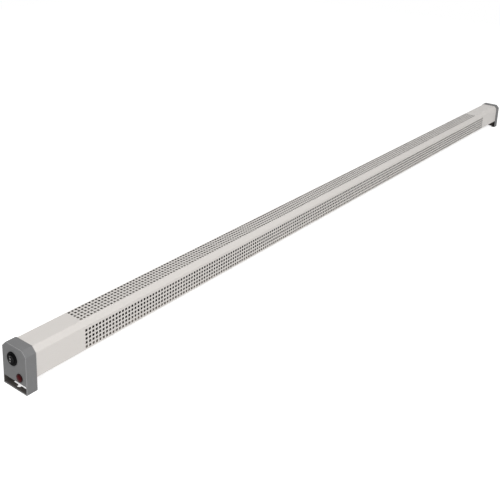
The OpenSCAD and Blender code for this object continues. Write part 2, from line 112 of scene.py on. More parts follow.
# The rocker switch and the lamp
SWITCH_MIDDLE, BEZEL_R, BEZEL_T, BARREL_L = round_fitting("switch_body")
SWITCH_Y, SWITCH_Z = SWITCH_MIDDLE
BARREL_R = 9.9 * MM
POCKET_R = 8.8 * MM
POCKET_DEPTH = 7 * MM
ROCKER_R = 8.5 * MM
ROCKER_PROUD = 3.8 * MM
ROCKER_BACK = 3 * MM
ROCKER_SCOOP = 0.8 * MM
LAMP_MIDDLE, COLLAR_R, COLLAR_T, LAMP_BARREL_L = round_fitting("lamp_collar")
LAMP_BARREL_R = 2.6 * MM
LENS_R = 5.7 * MM
LENS_SEAT = 1 * MM
LENS_RIM = 0.3 * MM
LENS_PROUD = NEAR_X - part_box("lamp_lens")[0].x

# Rounded edges and fine forms that only the looks have
CAP_EDGE_R = 0.3 * MM
CAP_RIM_R = 0.7 * MM
SEAM_OVERLAP = 0.02 * MM
BEZEL_EDGE_R = 0.9 * MM
BEZEL_INNER_R = 0.45 * MM
COLLAR_EDGE_R = 0.6 * MM
COLLAR_FLARE = 0.1 * MM
ROCKER_EDGE = 0.4 * MM
LENS_RIB_DEPTH = 0.09 * MM
LENS_RIBS = 5
ROUND_MIDDLE = 0.3  # how far in a quarter round's middle point lies, as a share of its radius
ROCKER_MIDDLE = 0.22  # the same for the rocker's flatter round
INK = 0.03 * MM
MARK_HALF_W = 1.55 * MM
MARK_H = 0.55 * MM
MARK_RING_R = 1.5 * MM
MARK_Y = SWITCH_Y + 2.2 * MM
MARK_ONE, MARK_OFF, MARK_TWO = 4.7 * MM, 0.2 * MM, -4.4 * MM

# Numbers of steps in round forms
FOLD_STEPS = 6
CAP_EDGE_STEPS = 3
RIM_STEPS = 5
SWITCH_SEGMENTS = 96
LAMP_SEGMENTS = 72
ROCKER_FACE_RINGS = 10
ROCKER_SIDE_RINGS = 8
LENS_STEPS = 60
MARK_RING_POINTS = 40
BISECTIONS = 50  # enough for scoop_reach to settle

# Limits that tell places, edges and faces apart
CLOSE = 0.2 * MM  # places nearer than this count as one
WELD = 0.002 * MM  # vertices nearer than this are merged
FLAT_WITHIN = 0.6  # degrees up to which neighbouring faces of a cap are one flat face
CAP_SHARP = 28.0  # degrees from which an edge of a cap is rounded off
TURNED_SHARP = 32.0  # degrees from which an edge of a turned form shows
ROCKER_SHARP = 40.0  # the same for the rocker
ALONG_TUBE = 0.1  # a face whose normal has less than this of X runs along the tube
NORMAL_WEIGHT = 90  # how strongly large faces of a cap stay flat

# Colours that several looks share (painted shade inside the tube, painted light where light comes
# in) and the reflector's painted-light stretches
INSIDE_SHADE_COLOUR = (0.016, 0.015, 0.014)
LIT_INSIDE_COLOUR = (0.76, 0.66, 0.57)
REFLECTOR_LIT_BACK_Y = (18 * MM, 24 * MM)
REFLECTOR_LIT_BACK_Z = (47 * MM, 58 * MM)
REFLECTOR_LIT_FRONT_Y = (-14 * MM, -4 * MM)

# Studio; each lamp is given by its name, place, target, size and power
FLOOR_HALF = 3.2
FLOOR_COLOUR = (0.80, 0.80, 0.80)
FLOOR_LIFT = 0.70  # glow that makes the floor white where it is looked at
WORLD_LIGHT = 0.3  # the world's strength for the rays that light the object
LAMPS = (
    ("left_front", (-3.0, -3.0, 3.0), (-0.3, 0.0, 0.05), (2.4, 2.4), 69),
    ("front", (-0.8, -3.2, 3.0), (-0.3, 0.0, 0.05), (3.0, 2.4), 31),
    ("above_near_end", (-1.8, -0.6, 3.6), (-0.7, 0.0, 0.0), (2.4, 2.4), 37),
)


def add_node(tree, kind, inputs, **settings):
    """Adds a node. Each input is fed by a socket's link or set to a plain value."""
    node = tree.nodes.new(kind)
    for key, value in settings.items():
        setattr(node, key, value)
    for key, value in inputs.items():
        if isinstance(value, bpy.types.NodeSocket):
            tree.links.new(value, node.inputs[key])
        else:
            node.inputs[key].default_value = value
    return node


class Shader:
    """A node material in the making: a Principled shader and short calls for what feeds it."""

    def __init__(self, name, colour, metallic=0.0, specular=0.5):
        self.material = bpy.data.materials.new(name)
        self.material.use_nodes = True
        self.tree = self.material.node_tree
        self.inputs = self.tree.nodes["Principled BSDF"].inputs
        self.colour = (*colour, 1)
        self.inputs["Base Color"].default_value = self.colour
        self.inputs["Metallic"].default_value = metallic
        self.inputs["Specular IOR Level"].default_value = specular
        self.place = self.tree.nodes.new("ShaderNodeTexCoord").outputs["Object"]
        self.split = None
        self.normal = None

    def stretched(self, x, y, z):
        """The place, scaled along each axis."""
        inputs = {"Vector": self.place, "Scale": (x, y, z)}
        return add_node(self.tree, "ShaderNodeMapping", inputs).outputs["Vector"]

    def noise(self, scale, detail=2.0, place=None):
        inputs = {"Vector": place or self.place, "Scale": scale, "Detail": detail}
        return add_node(self.tree, "ShaderNodeTexNoise", inputs).outputs["Fac"]

    def cells(self, scale):
        """The distance to the middle of the nearest cell."""
        inputs = {"Vector": self.place, "Scale": scale}
        return add_node(self.tree, "ShaderNodeTexVoronoi", inputs).outputs["Distance"]

    def spread(self, source, low, high, start=0.3, end=0.7):
        """Maps start to end on low to high. Most values of a pattern lie between 0.3 and 0.7."""
        inputs = {"Value": source, "From Min": start, "From Max": end,
                  "To Min": low, "To Max": high}
        return add_node(self.tree, "ShaderNodeMapRange", inputs).outputs["Result"]

    def axis(self, letter):
        """The place's coordinate along one axis, in metres."""
        if self.split is None:
            self.split = add_node(self.tree, "ShaderNodeSeparateXYZ", {"Vector": self.place})
        return self.split.outputs[letter]

    def calculated(self, operation, first, second):
        inputs = {0: first, 1: second}
        return add_node(self.tree, "ShaderNodeMath", inputs, operation=operation).outputs[0]

    def below(self, letter, limit):
        """1 where the coordinate is under the limit, 0 elsewhere."""
        return self.calculated("LESS_THAN", self.axis(letter), limit)

    def above(self, letter, limit):
        """1 where the coordinate is over the limit, 0 elsewhere."""
        return self.calculated("GREATER_THAN", self.axis(letter), limit)

    def both(self, first, second):
        return self.calculated("MULTIPLY", first, second)

    def tint_where(self, factor, other):
        """Goes from the colour so far to other as factor goes from 0 to 1."""
        mix = add_node(self.tree, "ShaderNodeMix", {"Factor": factor}, data_type="RGBA")
        before, after = [socket for socket in mix.inputs if socket.type == "RGBA"]
        if isinstance(self.colour, bpy.types.NodeSocket):
            self.tree.links.new(self.colour, before)
        else:
            before.default_value = self.colour
        after.default_value = (*other, 1)
        self.colour = [socket for socket in mix.outputs if socket.type == "RGBA"][0]
        self.tree.links.new(self.colour, self.inputs["Base Color"])

    def tint(self, pattern, other, amount):
        """Goes by that amount towards other where the pattern is strong."""
        self.tint_where(self.spread(pattern, 0.0, amount), other)

    def rough(self, pattern, low, high):
        """Roughness from low to high over the pattern, with their middle as the plain value."""
        self.inputs["Roughness"].default_value = (low + high) / 2
        self.tree.links.new(self.spread(pattern, low, high), self.inputs["Roughness"])

    def bump(self, pattern, strength, depth):
        """Adds relief on top of the relief so far."""
        inputs = {"Strength": strength, "Distance": depth, "Height": pattern}
        if self.normal is not None:
            inputs["Normal"] = self.normal
        self.normal = add_node(self.tree, "ShaderNodeBump", inputs).outputs["Normal"]
        self.tree.links.new(self.normal, self.inputs["Normal"])


def coat_shader(name):
    """Off-white powder coat on sheet steel: faint orange peel and a barely uneven tone."""
    s = Shader(name, (0.778, 0.738, 0.699))
    s.tint(s.noise(5.0, 3.0), (0.71, 0.675, 0.64), 0.35)
    s.tint(s.noise(900.0), (0.83, 0.81, 0.79), 0.35)
    s.rough(s.noise(60.0, 3.0), 0.34, 0.48)
    s.bump(s.noise(650.0), 0.16, 0.0004)
    s.bump(s.noise(45.0), 0.03, 0.002)
    return s


def powder_coat():
    return coat_shader("powder_coat").material


def tray_coat():
    """Powder coat on the tray's outside. Its inside is painted dark as shade, and its front lip
    pale as painted light.
    """
    s = coat_shader("tray_coat")
    within = s.above("Z", TUBE_BOTTOM + SHEET_T / 2)
    # Painted shade on the inside, then painted light on the front lip where light comes in through
    # the front holes.
    s.tint_where(s.both(s.below("Y", BACK_Y - SHEET_T / 2), within), INSIDE_SHADE_COLOUR)
    s.tint_where(s.both(s.below("Y", LIP_Y), within), LIT_INSIDE_COLOUR)
    return s.material


def painted_inside_shade():
    """Inner face of the perforated sheets: painted dark as shade, with a random uneven tone, and
    pale on the low flange as painted light.
    """
    s = Shader("painted_inside_shade", INSIDE_SHADE_COLOUR, specular=0.25)
    s.tint(s.noise(22.0, 3.0, s.stretched(1.0, 0.4, 0.4)), (0.036, 0.030, 0.026), 0.8)
    s.tint(s.noise(1400.0), (0.030, 0.029, 0.028), 0.6)
    # Painted light on the low flange.
    s.tint_where(s.below("Z", TUBE_BOTTOM + FOLD_R), LIT_INSIDE_COLOUR)
    s.rough(s.noise(500.0), 0.6, 0.82)
    s.bump(s.noise(1200.0), 0.1, 0.0002)
    return s.material


def punched(name, colour, darker):
    """Walls of punched holes, unevenly coated."""
    s = Shader(name, colour, specular=0.2)
    s.tint(s.noise(900.0), darker, 0.8)
    s.rough(s.noise(700.0), 0.5, 0.72)
    return s.material


def shaded_cut_edge():
    """Hole walls of the front sheet: near black, painted shade in the holes."""
    return punched("shaded_cut_edge", (0.050, 0.047, 0.044), (0.030, 0.027, 0.025))


def coated_edge():
    """Hole walls of the top sheet, which took some of the powder coat."""
    return punched("coated_edge", (0.42, 0.40, 0.38), (0.30, 0.28, 0.265))


def moulded(name, colour, darker, lighter):
    """Moulded plastic with a fine spark-eroded grain."""
    s = Shader(name, colour, specular=0.22)
    s.tint(s.noise(9.0, 3.0), darker, 0.6)
    s.tint(s.noise(2600.0), lighter, 0.6)
    s.rough(s.noise(1400.0), 0.52, 0.72)
    s.bump(s.noise(2100.0, 3.0), 0.35, 0.00022)
    return s.material


def moulded_grey():
    return moulded("moulded_grey",
                   (0.222, 0.222, 0.224), (0.195, 0.195, 0.198), (0.262, 0.262, 0.264))


def moulded_edge_highlight():
    """The same plastic along its rounded edges, lighter as a painted highlight."""
    return moulded("moulded_edge_highlight",
                   (0.34, 0.34, 0.344), (0.29, 0.29, 0.294), (0.41, 0.41, 0.414))


def moulded_foot_shade():
    """The same plastic inside the foot opening: dull, darker and a little brown, painted shade in
    the recess.
    """
    return moulded("moulded_foot_shade",
                   (0.085, 0.078, 0.072), (0.060, 0.054, 0.050), (0.120, 0.111, 0.104))


def satin_black():
    """Black moulded plastic of the small fittings."""
    s = Shader("satin_black", (0.0018, 0.0018, 0.0022), specular=0.03)
    s.tint(s.noise(1500.0), (0.0045, 0.0045, 0.005), 0.8)
    s.rough(s.noise(900.0), 0.42, 0.6)
    s.bump(s.noise(2400.0), 0.15, 0.0001)
    return s.material


def galvanised():
    """Zinc-coated steel with its spangle."""
    s = Shader("galvanised", (0.50, 0.51, 0.52), metallic=1.0)
    spangle = s.cells(160.0)
    s.tint(spangle, (0.66, 0.67, 0.69), 0.9)
    s.rough(spangle, 0.32, 0.52)
    s.bump(s.noise(700.0), 0.08, 0.0002)
    return s.material


def rolled_aluminium():
    """Reflector with rolling lines: painted dark as shade under the element, paler in front and up
    its back as painted light.
    """
    s = Shader("rolled_aluminium", (0.024, 0.021, 0.019))
    # The dark base is painted shade; the paler stretches up the back and in front are painted
    # light.
    lit_up_the_back = s.both(s.spread(s.axis("Y"), 0.0, 1.0, *REFLECTOR_LIT_BACK_Y),
                         s.spread(s.axis("Z"), 1.0, 0.1, *REFLECTOR_LIT_BACK_Z))
    s.tint_where(lit_up_the_back, (0.86, 0.79, 0.72))
    s.tint_where(s.spread(s.axis("Y"), 1.0, 0.0, *REFLECTOR_LIT_FRONT_Y), (0.42, 0.37, 0.32))
    lines = s.noise(220.0, 4.0, s.stretched(0.02, 1.0, 1.0))
    s.tint(lines, (0.24, 0.22, 0.20), 0.08)
    s.tint(s.noise(18.0, 3.0, s.stretched(1.0, 0.3, 0.3)), (0.12, 0.105, 0.09), 0.15)
    s.rough(lines, 0.36, 0.56)
    s.bump(lines, 0.10, 0.0002)
    return s.material


def heated_sheath():
    """Stainless element sheath, tinted brown in patches by its own heat."""
    s = Shader("heated_sheath", (0.035, 0.031, 0.028), metallic=1.0)
    s.tint(s.noise(14.0, 3.0, s.stretched(1.0, 0.2, 0.2)), (0.050, 0.032, 0.020), 0.85)
    s.tint(s.noise(420.0), (0.060, 0.056, 0.052), 0.5)
    s.rough(s.noise(260.0, 3.0), 0.34, 0.56)
    s.bump(s.noise(900.0), 0.10, 0.0002)
    return s.material


def glazed_ceramic():
    """Off-white steatite of the bushes and the terminal block."""
    s = Shader("glazed_ceramic", (0.74, 0.72, 0.66))
    s.tint(s.noise(1200.0, 3.0), (0.60, 0.57, 0.51), 0.5)
    s.rough(s.noise(320.0), 0.25, 0.42)
    s.bump(s.noise(800.0), 0.08, 0.0002)
    return s.material


def turned_brass():
    s = Shader("turned_brass", (0.68, 0.50, 0.22), metallic=1.0)
    s.tint(s.noise(800.0, 3.0), (0.52, 0.36, 0.16), 0.7)
    s.rough(s.noise(1500.0), 0.26, 0.46)
    s.bump(s.noise(2200.0), 0.08, 0.0001)
    return s.material


def zinc_steel():
    """Plated screws, rivets, blades and spring rings."""
    s = Shader("zinc_steel", (0.56, 0.56, 0.55), metallic=1.0)
    s.tint(s.noise(1100.0, 3.0), (0.40, 0.39, 0.37), 0.7)
    s.rough(s.noise(1700.0), 0.28, 0.5)
    s.bump(s.noise(2600.0), 0.08, 0.0001)
    return s.material


def grommet_rubber():
    s = Shader("grommet_rubber", (0.020, 0.020, 0.021))
    s.tint(s.noise(1300.0, 3.0), (0.040, 0.039, 0.038), 0.7)
    s.rough(s.noise(700.0), 0.62, 0.82)
    s.bump(s.noise(1900.0, 3.0), 0.25, 0.0002)
    return s.material


def red_lens():
    """Dark red lamp lens with a fine cast-in stipple."""
    s = Shader("red_lens", (0.085, 0.002, 0.004), specular=0.04)
    s.tint(s.noise(520.0), (0.045, 0.0015, 0.003), 0.9)
    s.rough(s.noise(900.0), 0.3, 0.46)
    s.bump(s.cells(1100.0), 0.35, 0.0003)
    return s.material


def dark_red():
    """Moulded lamp collar, almost black red."""
    s = Shader("dark_red", (0.016, 0.002, 0.0025), specular=0.08)
    s.tint(s.noise(900.0), (0.028, 0.003, 0.0035), 0.7)
    s.rough(s.noise(900.0), 0.22, 0.4)
    return s.material


def mark_white():
    """Pad-printed marks on the rocker, worn a little."""
    s = Shader("mark_white", (0.62, 0.62, 0.60))
    s.tint(s.noise(1800.0, 3.0), (0.36, 0.36, 0.36), 0.8)
    s.rough(s.noise(900.0), 0.42, 0.6)
    return s.material


def seen_directly(tree):
    """1 for a ray from the camera, a reflection or a see-through ray, 0 for one that lights."""
    path = tree.nodes.new("ShaderNodeLightPath").outputs
    total = path["Is Camera Ray"]
    for kind in ("Is Glossy Ray", "Is Transmission Ray"):
        inputs = {0: total, 1: path[kind]}
        total = add_node(tree, "ShaderNodeMath", inputs, operation="ADD", use_clamp=True).outputs[0]
    return total


def plain_stage(name, colour, lift):
    """Matt pale surface, lifted to white where it is looked at. The shadow on it stays."""
    material = bpy.data.materials.new(name)
    material.use_nodes = True
    tree = material.node_tree
    tree.nodes.clear()
    matt = add_node(tree, "ShaderNodeBsdfDiffuse", {"Color": (*colour, 1)})
    strength = add_node(tree, "ShaderNodeMath", {0: seen_directly(tree), 1: lift},
                        operation="MULTIPLY")
    glow = add_node(tree, "ShaderNodeEmission", {"Strength": strength.outputs[0]})
    total = add_node(tree, "ShaderNodeAddShader", {0: matt.outputs[0], 1: glow.outputs[0]})
    add_node(tree, "ShaderNodeOutputMaterial", {"Surface": total.outputs[0]})
    return material


COAT = powder_coat()
TRAY_COAT = tray_coat()
SHADED_INSIDE = painted_inside_shade()
SHADED_CUT_EDGE = shaded_cut_edge()
COATED_EDGE = coated_edge()
GREY = moulded_grey()
GREY_HIGHLIGHT = moulded_edge_highlight()
GREY_FOOT_SHADE = moulded_foot_shade()
BLACK = satin_black()
ZINC_SHEET = galvanised()
ALUMINIUM = rolled_aluminium()
SHEATH = heated_sheath()
CERAMIC = glazed_ceramic()
BRASS = turned_brass()
STEEL = zinc_steel()
RUBBER = grommet_rubber()
LENS = red_lens()
LAMP_RED = dark_red()
MARK = mark_white()

# The cap's grey, a lighter grey as painted highlight on rounded edges, and a darker grey as painted
# shade in the foot recess.
CAP_LOOKS = (GREY, GREY_HIGHLIGHT, GREY_FOOT_SHADE)
NODE_LOOKS = {
    "control_end_cap": GREY, "plain_end_cap": GREY, "front_grille": COAT, "top_grille": COAT,
    "back_tray": TRAY_COAT, "reflector": ALUMINIUM, "control_bulkhead": ZINC_SHEET,
    "far_bulkhead": ZINC_SHEET, "heating_element": SHEATH, "element_supports": ZINC_SHEET,
    "element_bushes": CERAMIC, "element_terminals": STEEL, "thermal_cutout": BLACK,
    "terminal_block": CERAMIC, "terminal_screws": BRASS, "earth_stud": BRASS, "earth_nut": BRASS,
    "cable_grommet": RUBBER, "switch_body": BLACK, "switch_rocker": BLACK,
    "switch_retainer": STEEL, "switch_terminals": STEEL, "lamp_collar": LAMP_RED,
    "lamp_lens": LENS, "lamp_retainer": STEEL, "lamp_terminals": STEEL,
    "control_cap_screws": STEEL, "plain_cap_screws": STEEL, "cover_screws": STEEL,
    "back_rivets": STEEL,
}


def dress_nodes():
    """Every CAD node gets its node material in place of its flat one."""
    for name, node in frame["nodes"].items():
        look = NODE_LOOKS[name]
        if not node.data.materials:
            node.data.materials.append(look)
        for slot in node.material_slots:
            slot.material = look


def add_object(name, data):
    thing = bpy.data.objects.new(name, data)
    bpy.context.scene.collection.objects.link(thing)
    return thing


def new_piece(name, vertices, faces, material, body="heater"):
    mesh = bpy.data.meshes.new(name)
    mesh.from_pydata(vertices, [], faces)
    mesh.materials.append(material)
    mesh.update()
    piece = add_object(name, mesh)
    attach(piece, body)
    return piece


def close_form(piece, sharp=None):
    """Turns all faces outward and, given an angle, shades smoothly between less sharp edges."""
    work = bmesh.new()
    work.from_mesh(piece.data)
    bmesh.ops.recalc_face_normals(work, faces=work.faces)
    if sharp is not None:
        for face in work.faces:
            face.smooth = True
        for edge in work.edges:
            edge.smooth = (len(edge.link_faces) != 2
                           or edge.calc_face_angle(0.0) < math.radians(sharp))
    work.to_mesh(piece.data)
    work.free()
    piece.data.update()


def fold_path(corners):
    """Outer and inner points of a folded sheet's section. The sheet is on the path's right."""
    points = [Vector(corner) for corner in corners]
    ways = [(b - a).normalized() for a, b in zip(points, points[1:])]
    rights = [Vector((way.y, -way.x)) for way in ways]
    outer, inner = [points[0]], [points[0] + rights[0] * SHEET_T]
    for corner, before, after, right in zip(points[1:], ways, ways[1:], rights):
        turn = before.angle(after)
        reach = FOLD_R * math.tan(turn / 2)
        centre = corner - before * reach + right * FOLD_R
        for i in range(FOLD_STEPS + 1):
            sine, cosine = math.sin(turn * i / FOLD_STEPS), math.cos(turn * i / FOLD_STEPS)
            spoke = Vector((-right.x * cosine - right.y * sine, right.x * sine - right.y * cosine))
            outer.append(centre + spoke * FOLD_R)
            inner.append(centre + spoke * (FOLD_R - SHEET_T))
    outer.append(points[-1])
    inner.append(points[-1] + rights[-1] * SHEET_T)
    return outer, inner


def cell_corners(i, j):
    """Corners of one hole, or of a bar between holes, in the lines of the hole field."""
    return [(i, j), (i + 1, j), (i + 1, j + 1), (i, j + 1)]


class PerforatedSheet:
    """A folded sheet between the caps, with the square holes in its longest flat.

    Vertices are made when a face asks for them, and neighbours share them. The bends are shaded
    flat: on faces 2 m long and 0.3 mm wide, smooth shading draws dark bands.
    """

    def __init__(self, corners, columns, first_row):
        """corners is the section's path, first_row the first holes' place along the flat."""
        self.sides = dict(zip(("outer", "inner"), fold_path(corners)))
        outer = self.sides["outer"]
        lengths = [(b - a).length for a, b in zip(outer, outer[1:])]
        self.flat = lengths.index(max(lengths))
        self.last = len(outer) - 1
        hole_xs = [FIELD_X0 + c * PITCH + edge for c in range(columns) for edge in (0, HOLE)]
        self.xs = [TUBE_ENDS[0], *hole_xs, TUBE_ENDS[1]]
        self.vs = [first_row + r * PITCH + edge for r in range(ROWS) for edge in (0, HOLE)]
        self.last_x, self.last_v = len(self.xs) - 1, len(self.vs) - 1
        self.vertices, self.faces, self.index = [], [], {}
        self.inside, self.walls = [], []

    def vertex(self, key, x, point):
        if key not in self.index:
            self.index[key] = len(self.vertices)
            self.vertices.append((x, point.x, point.y))
        return self.index[key]

    def at_end(self, side, k, end):
        """The section's point k, at the near end (0) or the far end (1) of the tube."""
        return self.vertex((side, k, end), TUBE_ENDS[end], self.sides[side][k])

    def in_field(self, side, i, j):
        """A hole's corner on that side. The first and the last i lie at the ends of the tube."""
        start, stop = self.sides[side][self.flat:self.flat + 2]
        point = start + (stop - start).normalized() * self.vs[j]
        return self.vertex((side, "field", i, j), self.xs[i], point)

    def add_skin(self, side, face):
        if side == "inner":
            self.inside.append(len(self.faces))
        self.faces.append(face)

    def add_thickness(self, lines):
        """Faces across the sheet, between a line of vertices on its outer and its inner side."""
        outer, inner = lines
        for k in range(len(outer) - 1):
            self.faces.append([outer[k], outer[k + 1], inner[k + 1], inner[k]])

    def add_bends(self):
        """All strips of the section but the flat with the holes, and the two long edges."""
        for k in range(self.last):
            if k == self.flat:
                continue
            for side in self.sides:
                self.add_skin(side, [self.at_end(side, k, 0), self.at_end(side, k, 1),
                                     self.at_end(side, k + 1, 1), self.at_end(side, k + 1, 0)])
            for end in (0, 1):
                self.add_thickness([[self.at_end(side, k, end), self.at_end(side, k + 1, end)]
                                    for side in self.sides])
        for k in (0, self.last):
            self.add_thickness([[self.at_end(side, k, 0), self.at_end(side, k, 1)]
                                for side in self.sides])

    def add_flat(self, side):
        """One side of the flat with the holes: four plain borders and the bars between holes."""
        last_x, last_v = self.last_x, self.last_v
        low = [self.at_end(side, self.flat, 0), self.at_end(side, self.flat, 1)]
        low += [self.in_field(side, i, 0) for i in range(last_x, -1, -1)]
        high = [self.in_field(side, i, last_v) for i in range(last_x + 1)]
        high += [self.at_end(side, self.flat + 1, 1), self.at_end(side, self.flat + 1, 0)]
        near = [self.in_field(side, 0, 0)]
        near += [self.in_field(side, 1, j) for j in range(last_v + 1)]
        near += [self.in_field(side, 0, last_v)]
        far = [self.in_field(side, last_x, last_v)]
        far += [self.in_field(side, last_x - 1, j) for j in range(last_v, -1, -1)]
        far += [self.in_field(side, last_x, 0)]
        for border in (low, high, near, far):
            self.add_skin(side, border)
        for i in range(1, last_x - 1):
            for j in range(last_v):
                is_hole = i % 2 == 1 and j % 2 == 0
                if not is_hole:
                    self.add_skin(side, [self.in_field(side, *c) for c in cell_corners(i, j)])

    def add_hole_walls(self):
        before = len(self.faces)
        for i in range(1, self.last_x, 2):
            for j in range(0, self.last_v, 2):
                ring = cell_corners(i, j)
                ring.append(ring[0])
                self.add_thickness([[self.in_field(side, *corner) for corner in ring]
                                    for side in self.sides])
        self.walls += range(before, len(self.faces))

    def add_flat_ends(self):
        for end, i in ((0, 0), (1, self.last_x)):
            self.add_thickness([[self.at_end(side, self.flat, end), self.in_field(side, i, 0),
                                 self.in_field(side, i, self.last_v),
                                 self.at_end(side, self.flat + 1, end)] for side in self.sides])

    def add_strip(self, section):
        """A plain bar along the inside of the sheet, given by its section's (y, z) corners."""
        before, first, count = len(self.faces), len(self.vertices), len(section)
        self.vertices += [(x, y, z) for x in TUBE_ENDS for y, z in section]
        near = list(range(first, first + count))
        far = [index + count for index in near]
        self.add_thickness([near + near[:1], far + far[:1]])
        self.faces += [near, far]
        self.inside += range(before, len(self.faces))

    def make(self, name, wall_look, strips=()):
        self.add_bends()
        for side in self.sides:
            self.add_flat(side)
        self.add_hole_walls()
        self.add_flat_ends()
        for section in strips:
            self.add_strip(section)
        piece = new_piece(name, self.vertices, self.faces, COAT)
        # The inner faces get the inside's painted shade, the hole walls their own look.
        for slot, (look, members) in enumerate(((SHADED_INSIDE, self.inside), (wall_look, self.walls)), 1):
            piece.data.materials.append(look)
            for i in members:
                piece.data.polygons[i].material_index = slot
        close_form(piece)
        return piece


def make_front_sheet():
    corners = [(FRONT_Y + FLANGE_W, TUBE_BOTTOM), (FRONT_Y, TUBE_BOTTOM), (FRONT_Y, JOINT_Z)]
    first_row = FRONT_ROWS_Z - FIELD_HALF - (TUBE_BOTTOM + FOLD_R)
    piece = PerforatedSheet(corners, FRONT_COLUMNS, first_row).make("front_sheet", SHADED_CUT_EDGE)
    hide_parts("front_grille")


def make_top_sheet():
    start_z = JOINT_Z - SEAM_OVERLAP
    corners = [(FRONT_Y, start_z), (FRONT_Y, TUBE_TOP - TUBE_CHAMFER),
               (FRONT_Y + TUBE_CHAMFER, TUBE_TOP), (BACK_Y - TUBE_CHAMFER, TUBE_TOP),
               (BACK_Y, TUBE_TOP - TUBE_CHAMFER), (BACK_Y, start_z)]
    lap = [(BACK_Y - SHEET_T, JOINT_Z - LAP_W), (BACK_Y - SHEET_T, JOINT_Z),
           (BACK_Y - SHEET_T / 2, JOINT_Z), (BACK_Y - SHEET_T / 2, JOINT_Z + SHEET_T),
           (BACK_Y - 2 * SHEET_T, JOINT_Z + SHEET_T), (BACK_Y - 2 * SHEET_T, JOINT_Z - LAP_W)]
    front_lap = [(-y, z) for y, z in lap]
    first_row = -FIELD_HALF - (FRONT_Y + TUBE_CHAMFER + FOLD_REACH)
    sheet = PerforatedSheet(corners, TOP_COLUMNS, first_row)
    piece = sheet.make("top_sheet", COATED_EDGE, (lap, front_lap))
    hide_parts("top_grille")


def on_rim(edge):
    """Whether an edge of a cap runs round its outer face, above the floor."""
    skin = min(edge.link_faces, key=lambda face: abs(face.normal.x))
    place = (edge.verts[0].co + edge.verts[1].co) / 2
    from_side, from_top = CAP_HIGH.y - abs(place.y), CAP_HIGH.z - place.z
    at_end = min(abs(place.x - NEAR_X), abs(place.x - FAR_X)) < CLOSE
    on_outline = (from_side < CLOSE or from_top < CLOSE
                  or from_side + from_top < CAP_CHAMFER + CLOSE)
    return at_end and abs(skin.normal.x) < ALONG_TUBE and on_outline


def is_sharp(edge):
    return len(edge.link_faces) == 2 and edge.calc_face_angle(0.0) > math.radians(CAP_SHARP)


def round_off(work, edges, radius, clamp):
    """Bevels edges of a cap with a round profile. The new faces get a lighter grey as painted
    highlight.
    """
    bmesh.ops.bevel(work, geom=edges, offset=radius, offset_type="OFFSET",
                    segments=CAP_EDGE_STEPS, profile=0.5, affect="EDGES", clamp_overlap=clamp,
                    material=CAP_LOOKS.index(GREY_HIGHLIGHT))


def softened_cap(node, name):
    """A cap's shape with its edges rounded off, most at the rim of its outer face."""
    source = frame["nodes"][node]
    mesh = source.data.copy()
    mesh.name = name
    mesh.materials.clear()
    for look in CAP_LOOKS:
        mesh.materials.append(look)
    work = bmesh.new()
    work.from_mesh(mesh)
    bmesh.ops.remove_doubles(work, verts=work.verts, dist=WELD)
    bmesh.ops.dissolve_limit(work, angle_limit=math.radians(FLAT_WITHIN), verts=work.verts,
                             edges=work.edges, delimit={"NORMAL"})
    rim = [edge for edge in work.edges if is_sharp(edge) and on_rim(edge)]
    round_off(work, rim, CAP_RIM_R, False)
    round_off(work, [edge for edge in work.edges if is_sharp(edge)], CAP_EDGE_R, True)
    for face in work.faces:
        face.smooth = True
    work.to_mesh(mesh)
    work.free()
    piece = add_object(name, mesh)
    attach(piece, source["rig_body"])
    weighted = piece.modifiers.new("flat faces stay flat", "WEIGHTED_NORMAL")
    weighted.keep_sharp = True
    weighted.weight = NORMAL_WEIGHT
    return piece


def in_foot_opening(face):
    """Whether a cap's face lies in the recess under its ledge, or on top of the foot plate."""
    place = face.center
    below_ledge = place.z < TUBE_BOTTOM - CLOSE
    between_walls = abs(place.y) < CAP_HIGH.y - FOOT_WALL + CLOSE
    from_ends = min(place.x - NEAR_X, FAR_X - place.x)
    return below_ledge and between_walls and from_ends > CLOSE and place.z > CLOSE


def make_caps():
    for node, name in (("control_end_cap", "control_cap"), ("plain_end_cap", "plain_cap")):
        piece = softened_cap(node, name)
        # Faces in the foot recess get the darker grey, painted shade.
        for face in piece.data.polygons:
            if in_foot_opening(face):
                face.material_index = CAP_LOOKS.index(GREY_FOOT_SHADE)
        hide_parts(node)


def ring_form(name, rings, material, sharp, body="heater"):
    """A closed form whose skin runs from ring to ring. A ring of one point closes it."""
    vertices, numbered, faces = [], [], []
    for ring in rings:
        numbered.append(range(len(vertices), len(vertices) + len(ring)))
        vertices += ring
    segments = max(len(ring) for ring in rings)
    for first, second in zip(numbered, numbered[1:]):
        for i in range(segments):
            j = (i + 1) % segments
            face = (first[i % len(first)], first[j % len(first)],
                    second[j % len(second)], second[i % len(second)])
            faces.append(list(dict.fromkeys(face)))
    piece = new_piece(name, vertices, faces, material, body)
    close_form(piece, sharp)
    return piece


def circle(segments):
    """(cosine, sine) of evenly spread directions."""
    angles = [2 * math.pi * i / segments for i in range(segments)]
    return [(math.cos(angle), math.sin(angle)) for angle in angles]


def lathe(name, profile, middle, material, segments):
    """Turns a profile of (x, radius) points about the X axis through middle.

    A point on the axis becomes a ring of one.
    """
    y, z = middle
    rings = [[(x, y + r * c, z + r * s) for c, s in circle(segments if r > 0 else 1)]
             for x, r in profile]
    return ring_form(name, rings, material, TURNED_SHARP)


def round_rim(face_x, radius, edge_r):
    """Profile points of a rim's rounded outer edge, from its face outward."""
    points = []
    for i in range(RIM_STEPS + 1):
        a = math.radians(90 * i / RIM_STEPS)
        points.append((face_x + edge_r * (1 - math.cos(a)), radius - edge_r * (1 - math.sin(a))))
    return points


def barrel(rim_r, barrel_r, length):
    """Profile points from a rim's back edge, on the cap's face, to the closed end of its barrel."""
    back = NEAR_X + length
    return [(NEAR_X, rim_r), (NEAR_X, barrel_r), (back, barrel_r), (back, 0)]


